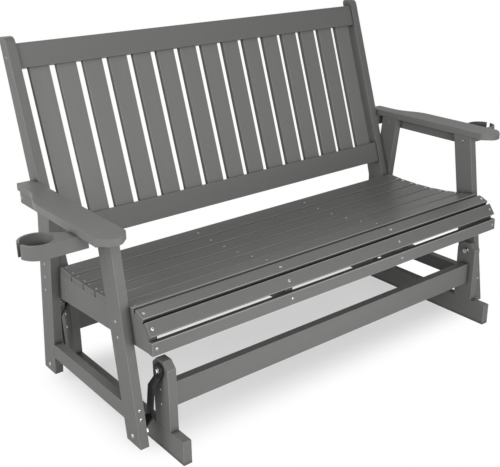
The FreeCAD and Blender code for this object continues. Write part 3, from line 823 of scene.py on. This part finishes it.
@dataclass
class SlattedSeat(SeatPart):
    """Dished side rails and inner supports, the rear crossbar and the nine slats."""

    rail_overrun: float = 0.003
    rail_depth: float = 0.097
    slat_thickness: float = 0.018
    wide_slats: int = 6
    wide_width: float = 0.067
    wide_gap: float = 0.005
    narrow_slats: int = 3
    narrow_width: float = 0.039
    roll_width: float = 0.0415
    narrow_gap: float = 0.0028
    rear_tilt: float = 3.9
    dish_turn: float = 2.98
    roll_start_turn: float = 31.0
    roll_turn: float = 34.0
    bar_setback: float = 0.014
    bar_thickness: float = 0.028
    bar_height: float = 0.076
    slat_round: float = 0.0008
    slat_side_round: float = 0.002
    # painted highlight: the seat slats' rounds are lightened more, for the light lines along their edges
    slat_wear_and_highlight: float = 2.2
    # painted light and shade: each seat slat's colour is scaled, darker towards the back under the backrest
    # and lighter towards the front
    slat_shade_tones: tuple[float, ...] = (0.9, 0.9, 0.93, 1.0, 1.02, 1.14, 1.0, 0.88, 0.96)

    def flats(self) -> list[Vector]:
        """Lay out the rails' top, which has one flat for each slat.

        Returns:
            The flats' corners, from the back forwards.
        """
        seat_line = Span.of("right_back_post").low.z
        corners = [Vector((0, self.middle + self.front_foot, seat_line))]
        slope = -self.rear_tilt
        for index in range(self.wide_slats + self.narrow_slats):
            wide = index < self.wide_slats
            length = self.wide_width + self.wide_gap if wide else self.narrow_width + self.narrow_gap
            angle = math.radians(slope)
            corners.append(corners[-1] + Vector((0, -math.cos(angle), math.sin(angle))) * length)
            if index < self.wide_slats - 1:
                slope += self.dish_turn
            elif index == self.wide_slats - 1:
                slope -= self.roll_start_turn
            else:
                slope -= self.roll_turn
        return corners

    def build(self) -> None:
        """Build the seat's boards."""
        flats = self.flats()
        top = [(corner.y, corner.z) for corner in flats]
        rear = flats[0].y + self.foot_depth + self.rail_overrun
        rail = Span.of("right_seat_rail")
        corners = [(rear, flats[0].z - self.rail_depth), (rear, flats[0].z)] + top
        shape = Shape.side_plate(corners, rail.low.x, rail.high.x).round_edges(self.slat_round)
        self.dress_pair("seat_rail", shape, LumberFinish(Grain.DEEP))

        heading = (flats[1] - flats[0]).normalized()
        normal = Vector((0, heading.z, -heading.y))
        bar_rear = flats[0] + heading * self.bar_setback
        bar_front = bar_rear + heading * self.bar_thickness
        bar_bottom = bar_front - normal * self.bar_height
        support = Span.of("right_inner_seat_support")
        corners = [(bar_bottom.y, bar_bottom.z), (bar_front.y, bar_front.z)] + top[1:]
        shape = Shape.side_plate(corners, support.low.x, support.high.x).round_edges()
        self.dress_pair("inner_seat_support", shape, LumberFinish(Grain.DEEP))

        half = Span.of("rear_seat_crossbar").high.x
        low = Vector((-half, -self.bar_thickness, -self.bar_height))
        shape = Shape.block(low, Vector((half, 0, 0))).round_edges()
        shape.tilt(self.rear_tilt, bar_rear.y, bar_rear.z)
        self.dress("rear_seat_crossbar", shape, LumberFinish(Grain.ACROSS))
        for index in range(self.wide_slats + self.narrow_slats):
            self.slat(index, flats[index], flats[index + 1])

    def slat(self, index: int, back: Vector, front: Vector) -> None:
        """Build one slat.

        Args:
            index: its place, counted from the back.
            back: rear corner of its flat.
            front: front corner of its flat.
        """
        node = "seat_slat_%d" % (index + 1)
        width = self.wide_width if index < self.wide_slats else self.narrow_width
        if index == self.wide_slats + 1:
            width = self.roll_width
        box = Span.of(node)
        half = Vector((box.high.x, width / 2, self.slat_thickness / 2))
        way = back - front
        shape = Shape.block(-half, half)
        shape.round_corners(ALONG_X, self.slat_side_round, Shape.edge_segments, lambda place: True)
        shape.round_edges(self.slat_round)
        shape.tilt(math.degrees(math.atan2(way.z, way.y)), box.middle.y, box.middle.z)
        finish = LumberFinish(Grain.ACROSS, self.slat_shade_tones[index], wear_and_highlight=self.slat_wear_and_highlight)
        self.dress(node, shape, finish)


@dataclass
class BackRest(SeatPart):
    """Reclined posts, the two rails between them and the fifteen slats let into the rails."""

    lean: float = 18.0
    top_depth: float = 0.0427
    top_round: float = 0.015
    top_segments: int = 6
    board: float = 0.028
    rail_height: float = 0.073
    rail_setback: float = 0.005
    lower_rise: float = 0.076
    slat_length: float = 0.462
    slat_width: float = 0.065
    slat_gap: float = 0.0241
    slat_thickness: float = 0.018
    slats: int = 15
    tongue: float = 0.012
    slat_tone: float = 1.2
    rail_tone: float = 1.03

    def build(self) -> None:
        """Build the back's boards."""
        post = Span.of("right_back_post")
        foot = self.middle + self.front_foot
        top = foot + post.size.z * math.tan(math.radians(self.lean))
        corners = [(foot, post.low.z), (foot + self.foot_depth, post.low.z)]
        corners += [(top + self.top_depth, post.high.z), (top, post.high.z)]
        shape = Shape.side_plate(corners, post.low.x, post.high.x)
        crown = post.high.z - HAIR
        shape.round_corners(ALONG_X, self.top_round, self.top_segments, lambda place: place.z > crown)
        self.dress_pair("back_post", shape.round_edges(), LumberFinish(Grain.RECLINED))

        upper_rise = self.lower_rise + self.rail_height + self.slat_length
        for node, rise in (("lower_back_rail", self.lower_rise), ("top_back_rail", upper_rise)):
            half = Span.of(node).high.x
            low = Vector((-half, self.rail_setback, rise))
            high = Vector((half, self.rail_setback + self.board, rise + self.rail_height))
            shape = Shape.block(low, high).round_edges().tilt(-self.lean, foot, post.low.z)
            self.dress(node, shape, LumberFinish(Grain.ACROSS, self.rail_tone))
        groups = ("left", "middle", "right")
        share = self.slats // len(groups)
        for index, place in enumerate(groups):
            shape = Shape()
            for number in range(index * share, (index + 1) * share):
                shape.take(self.slat(number, upper_rise))
            shape.tilt(-self.lean, foot, post.low.z)
            self.dress("back_slats_" + place, shape, LumberFinish(Grain.RECLINED, self.slat_tone))

    def slat(self, number: int, upper_rise: float) -> Shape:
        """One slat, upright.

        Args:
            number: its place, counted from the left.
            upper_rise: where the top rail starts.

        Returns:
            The slat.
        """
        centre = (number - (self.slats - 1) / 2) * (self.slat_width + self.slat_gap)
        face = self.rail_setback + (self.board - self.slat_thickness) / 2
        low = Vector((centre - self.slat_width / 2, face, self.lower_rise + self.rail_height - self.tongue))
        high = Vector((centre + self.slat_width / 2, face + self.slat_thickness, upper_rise + self.tongue))
        return Shape.block(low, high).round_edges()


@dataclass
class ArmRests(SubAssembly):
    """Armrests that narrow towards the back, their aprons and spacer blocks, and the cup holders."""

    rear_width: float = 0.054
    curve_start: float = 0.356
    curve_length: float = 0.139
    curve_segments: int = 8
    curve_share: float = 0.999
    front_clip: float = 0.031
    clip_round: float = 0.009
    clip_segments: int = 3
    plank_round: float = 0.003
    rim_round: float = 0.0015
    plank_tone: float = 1.1

    def build(self) -> None:
        """Build the arms."""
        self.dress_pair("armrest", self.plank(), LumberFinish(Grain.DEEP, self.plank_tone))
        for name in ("apron", "arm_block"):
            block = Span.of("right_" + name)
            self.dress_pair(name, Shape.block(block.low, block.high).round_edges(), LumberFinish(Grain.DEEP))
        for side in SIDES:
            node = side + "_cup_holder"
            self.dress(node, Shape.copy_of(node).round_edges(self.rim_round), LumberFinish(Grain.ACROSS))

    def plank(self) -> Shape:
        """Right-hand armrest: clipped at the front, with an S curve on its outer side.

        Returns:
            The armrest.
        """
        arm = Span.of("right_armrest")
        low, high = arm.low, arm.high
        narrow = low.x + self.rear_width
        drop = high.x - narrow
        radius = (self.curve_length ** 2 + drop ** 2) / (4 * drop)
        reach = radius * math.tan(math.asin(self.curve_length / 2 / radius) / 2)
        start = low.y + self.curve_start
        corners = [(low.x, high.y), (low.x, low.y), (high.x, low.y), (high.x, start + reach)]
        corners += [(narrow, start + self.curve_length - reach), (narrow, high.y)]
        shape = Shape.plate([Vector((x, y, low.z)) for x, y in corners], ALONG_Z * arm.size.z)
        front = low.y + HAIR
        shape.round_corners(ALONG_Z, self.front_clip, 1, lambda place: place.y < front)
        clipped = front + self.front_clip
        shape.round_corners(ALONG_Z, self.clip_round, self.clip_segments, lambda place: place.y < clipped)
        end = start + self.curve_length
        shape.round_corners(
            ALONG_Z, reach * self.curve_share, self.curve_segments, lambda place: start < place.y < end
        )
        return shape.round_edges(self.plank_round)


@dataclass
class Fasteners(SubAssembly):
    """Flat-headed screws with a cross recess, read one by one from the frame."""

    head_radius: float = 0.0048
    head_rise: float = 0.0005
    head_height: float = 0.0025
    crown_width: float = 0.8
    crown_height: float = 0.9
    shank_radius: float = 0.0024
    tip_radius: float = 0.0004
    tip_length: float = 0.0072
    recess_radius: float = 0.0026
    recess_waist: float = 0.0011
    recess_depth: float = 0.0012
    recess_ease: float = 1.15
    recess_arms: int = 4
    steps: int = 12

    def build(self) -> None:
        """Build the screws of every group."""
        for node in ("base_screws", "frame_screws", "seat_slat_screws", "arm_screws"):
            shape = Shape()
            for place, length in self.places(node):
                screw = self.screw(length)
                bmesh.ops.transform(screw.mesh, matrix=place, verts=screw.mesh.verts)
                shape.take(screw)
            self.dress(node, shape, SteelFinish())

    def places(self, node: str) -> list[tuple[Matrix, float]]:
        """Find the screws of a node.

        Args:
            node: name of the frame's node.

        Returns:
            For each screw where its head's top is, with Z out of the board, and its length.
        """
        copy = Shape.copy_of(node)
        left = set(copy.mesh.verts)
        found = []
        while left:
            island = [left.pop()]
            for vert in island:
                near = {edge.other_vert(vert) for edge in vert.link_edges} & left
                left -= near
                island += near
            found.append(self.place(np.array([vert.co for vert in island])))
        copy.mesh.free()
        return sorted(found, key=lambda item: tuple(round(value, 5) for value in item[0].translation))

    def place(self, points: np.ndarray) -> tuple[Matrix, float]:
        """Find one screw's place from its points.

        Args:
            points: the corners of its mesh.

        Returns:
            Where its head's top is, with Z out of the board, and its length.
        """
        centre = points.mean(axis=0)
        axis = np.linalg.svd(points - centre)[2][0]
        along = (points - centre) @ axis
        away = np.linalg.norm(points - centre - np.outer(along, axis), axis=1)
        if along[away.argmax()] < along.mean():
            axis, along = -axis, -along
        top = Vector(centre + axis * along.max())
        turn = Vector(axis).to_track_quat("Z", "Y").to_matrix().to_4x4()
        return Matrix.Translation(top) @ turn, float(along.max() - along.min())

    def screw(self, length: float) -> Shape:
        """One screw along Z, its head's top rim at the origin.

        Args:
            length: from the head's top to the tip.

        Returns:
            The screw.
        """
        shape = Shape()
        mesh = shape.mesh
        floor = self.head_rise - self.recess_depth
        bmesh.ops.create_circle(
            mesh, cap_ends=True, segments=self.steps, radius=self.recess_waist,
            matrix=Matrix.Translation((0, 0, floor)),
        )
        rim = list(mesh.edges)
        rings = [
            (self.recess_radius, self.head_rise),
            (self.head_radius * self.crown_width, self.head_rise * self.crown_height),
            (self.head_radius, -self.head_rise / 2),
            (self.shank_radius, -self.head_height),
            (self.shank_radius, self.tip_length - length),
            (self.tip_radius, -length),
        ]
        arm_steps = self.steps // self.recess_arms
        for number, (radius, height) in enumerate(rings):
            made = bmesh.ops.extrude_edge_only(mesh, edges=rim)["geom"]
            rim = [item for item in made if isinstance(item, BMEdge)]
            for vert in (item for item in made if isinstance(item, BMVert)):
                angle = math.atan2(vert.co.y, vert.co.x)
                waist = number == 0 and round(angle / (math.tau / self.steps)) % arm_steps != 0
                reach = self.recess_waist * self.recess_ease if waist else radius
                vert.co = (reach * math.cos(angle), reach * math.sin(angle), height)
        bmesh.ops.contextual_create(mesh, geom=rim)
        bmesh.ops.recalc_face_normals(mesh, faces=mesh.faces)
        return shape


# Studio
@dataclass(frozen=True)
class SoftLamp:
    """A square soft lamp that faces the bench."""

    name: str
    azimuth: float
    elevation: float
    size: float
    power: float
    distance: float = 3.2

    def place(self, aim: Vector) -> Vector:
        """Where the lamp hangs.

        Args:
            aim: what it faces; its azimuth turns round this from the front to the left.

        Returns:
            The lamp's middle.
        """
        turn = math.radians(self.azimuth)
        rise = math.radians(self.elevation)
        level = Vector((-math.sin(turn), -math.cos(turn), 0)) * math.cos(rise)
        return aim + (level + ALONG_Z * math.sin(rise)) * self.distance


@dataclass
class Studio:
    """White floor, soft lamps and the camera."""

    floor_size: float = 40.0
    floor_colour: float = 0.9
    floor_roughness: float = 0.9
    floor_shine: float = 0.1
    shade_half: tuple[float, float] = (0.62, 0.2)
    shade_fade: float = 0.18
    floor_glow: float = 0.5
    sky: float = 0.02
    lamp_aim: Triple = (0.0, 0.0, 0.5)
    lamps: tuple[SoftLamp, ...] = (
        SoftLamp("top_lamp", 0, 88, 2.4, 22.5),
        SoftLamp("rear_lamp", 180, 38, 2.0, 18.0),
        SoftLamp("right_lamp", -95, 22, 1.8, 12.0),
        SoftLamp("left_lamp", 90, 6, 1.6, 5.5),
        SoftLamp("near_left_lamp", 90, 20, 1.2, 15.0, 2.0),
        SoftLamp("near_front_left_lamp", 28, 28, 1.0, 15.0, 2.1),
        SoftLamp("near_front_lamp", 0, 0, 1.0, 18.5, 2.0),
    )
    eye: Triple = (-1.69556, -2.02691, 1.43945)
    yaw: float = 0.6680329
    pitch: float = -0.3800278
    roll: float = -0.0103959
    lens: float = 60.885
    sensor: float = 36.0
    near_clip: float = 0.05
    shift: tuple[float, float] = (-0.00514, 0.00518)

    def build(self) -> None:
        """Set up the studio."""
        scene = bpy.context.scene
        scene.view_settings.view_transform = "Standard"
        self.lay_floor()
        self.light_sky()
        for lamp in self.lamps:
            self.hang_lamp(lamp)
        scene.camera = self.place_camera()

    def lay_floor(self) -> None:
        """Lay the white floor, which glows plain white for the camera outside a box under the bench; inside
        the box the glow is weaker, a painted shade added to the bench's own shadow.
        """
        shape = Shape()
        bmesh.ops.create_grid(shape.mesh, x_segments=1, y_segments=1, size=self.floor_size / 2)
        mesh = bpy.data.meshes.new("floor_shape")
        shape.mesh.to_mesh(mesh)
        shape.mesh.free()
        tree = NodeTree("white_floor")
        tree.fix("Base Color", (*(self.floor_colour,) * 3, 1.0))
        tree.fix("Roughness", self.floor_roughness)
        tree.fix("Specular IOR Level", self.floor_shine)
        place = tree.add("ShaderNodeTexCoord").outputs["Object"]
        # painted shade: the glow drops to floor_glow inside the box and rises again over shade_fade outside
        # it
        beside = (*self.shade_half, 0.0)
        steps = (("ABSOLUTE", None), ("SUBTRACT", beside), ("MAXIMUM", (0.0, 0.0, 0.0)))
        for operation, other in steps:
            step = tree.add("ShaderNodeVectorMath", operation=operation)
            tree.join(place, step.inputs[0])
            if other:
                step.inputs[1].default_value = other
            place = step.outputs["Vector"]
        outside = tree.add("ShaderNodeVectorMath", operation="LENGTH")
        tree.join(place, outside.inputs[0])
        fade = tree.add("ShaderNodeMapRange", interpolation_type="SMOOTHSTEP")
        fade.inputs["From Max"].default_value = self.shade_fade
        fade.inputs["To Min"].default_value = self.floor_glow
        tree.join(outside.outputs["Value"], fade.inputs["Value"])
        path = tree.add("ShaderNodeLightPath")
        seen = tree.calculate("MAXIMUM", path.outputs["Is Camera Ray"], path.outputs["Is Glossy Ray"])
        seen = tree.calculate("MAXIMUM", seen, path.outputs["Is Transmission Ray"])
        share = tree.calculate("MULTIPLY", seen, fade.outputs["Result"])
        white = tree.add("ShaderNodeEmission")
        white.inputs["Strength"].default_value = 1.0
        mix = tree.add("ShaderNodeMixShader")
        tree.join(share, mix.inputs["Fac"])
        tree.join(tree.shader.outputs["BSDF"], mix.inputs[1])
        tree.join(white.outputs["Emission"], mix.inputs[2])
        tree.join(mix.outputs["Shader"], tree.nodes["Material Output"].inputs["Surface"])
        mesh.materials.append(tree.material)
        floor = bpy.data.objects.new("floor", mesh)
        bpy.context.scene.collection.objects.link(floor)

    def light_sky(self) -> None:
        """Light the studio evenly, with plain white behind it."""
        world = bpy.data.worlds.new("studio")
        world.use_nodes = True
        nodes = world.node_tree.nodes
        links = world.node_tree.links
        soft = nodes["Background"]
        soft.inputs["Color"].default_value = (1.0, 1.0, 1.0, 1.0)
        soft.inputs["Strength"].default_value = self.sky
        white = nodes.new("ShaderNodeBackground")
        white.inputs["Color"].default_value = (1.0, 1.0, 1.0, 1.0)
        white.inputs["Strength"].default_value = 1.0
        path = nodes.new("ShaderNodeLightPath")
        seen = path.outputs["Is Camera Ray"]
        for name in ("Is Glossy Ray", "Is Transmission Ray"):
            either = nodes.new("ShaderNodeMath")
            either.operation = "MAXIMUM"
            links.new(seen, either.inputs[0])
            links.new(path.outputs[name], either.inputs[1])
            seen = either.outputs["Value"]
        mix = nodes.new("ShaderNodeMixShader")
        links.new(seen, mix.inputs["Fac"])
        links.new(soft.outputs["Background"], mix.inputs[1])
        links.new(white.outputs["Background"], mix.inputs[2])
        links.new(mix.outputs["Shader"], nodes["World Output"].inputs["Surface"])
        bpy.context.scene.world = world

    def hang_lamp(self, lamp: SoftLamp) -> None:
        """Hang one lamp, itself unseen by the camera.

        Args:
            lamp: the lamp.
        """
        light = bpy.data.lights.new(lamp.name, "AREA")
        light.size = lamp.size
        light.energy = lamp.power
        hung = bpy.data.objects.new(lamp.name, light)
        aim = Vector(self.lamp_aim)
        hung.location = lamp.place(aim)
        hung.rotation_mode = "QUATERNION"
        hung.rotation_quaternion = (aim - hung.location).to_track_quat("-Z", "Y")
        hung.visible_camera = False
        bpy.context.scene.collection.objects.link(hung)

    def place_camera(self) -> bpy.types.Object:
        """Stand the camera where the bench is seen from its front left, a little from above.

        Returns:
            The camera.
        """
        data = bpy.data.cameras.new("viewpoint")
        data.lens = self.lens
        data.sensor_width = self.sensor
        data.sensor_fit = "HORIZONTAL"
        data.shift_x, data.shift_y = self.shift
        data.clip_start = self.near_clip
        ahead = Vector((math.sin(self.yaw), math.cos(self.yaw), 0)) * math.cos(self.pitch)
        ahead.z = math.sin(self.pitch)
        right = Vector((math.cos(self.yaw), -math.sin(self.yaw), 0))
        up = right.cross(ahead)
        level = Matrix((right, up, -ahead)).transposed()
        turn = level @ Matrix.Rotation(self.roll, 3, "Z")
        camera = bpy.data.objects.new("viewpoint", data)
        camera.matrix_world = Matrix.Translation(self.eye) @ turn.to_4x4()
        bpy.context.scene.collection.objects.link(camera)
        return camera


def main() -> None:
    """Build the bench and the studio round it."""
    logging.basicConfig(level=logging.INFO, format="%(message)s")
    seat_middle = Span.of("lower_pivot_bolts").middle.y
    groups = [BaseFrame(), HangerSet(), SeatSide(seat_middle), SlattedSeat(seat_middle)]
    groups += [BackRest(seat_middle), ArmRests(), Fasteners()]
    for group in groups:
        group.build()
    Studio().build()


if __name__ == "__main__":
    main()
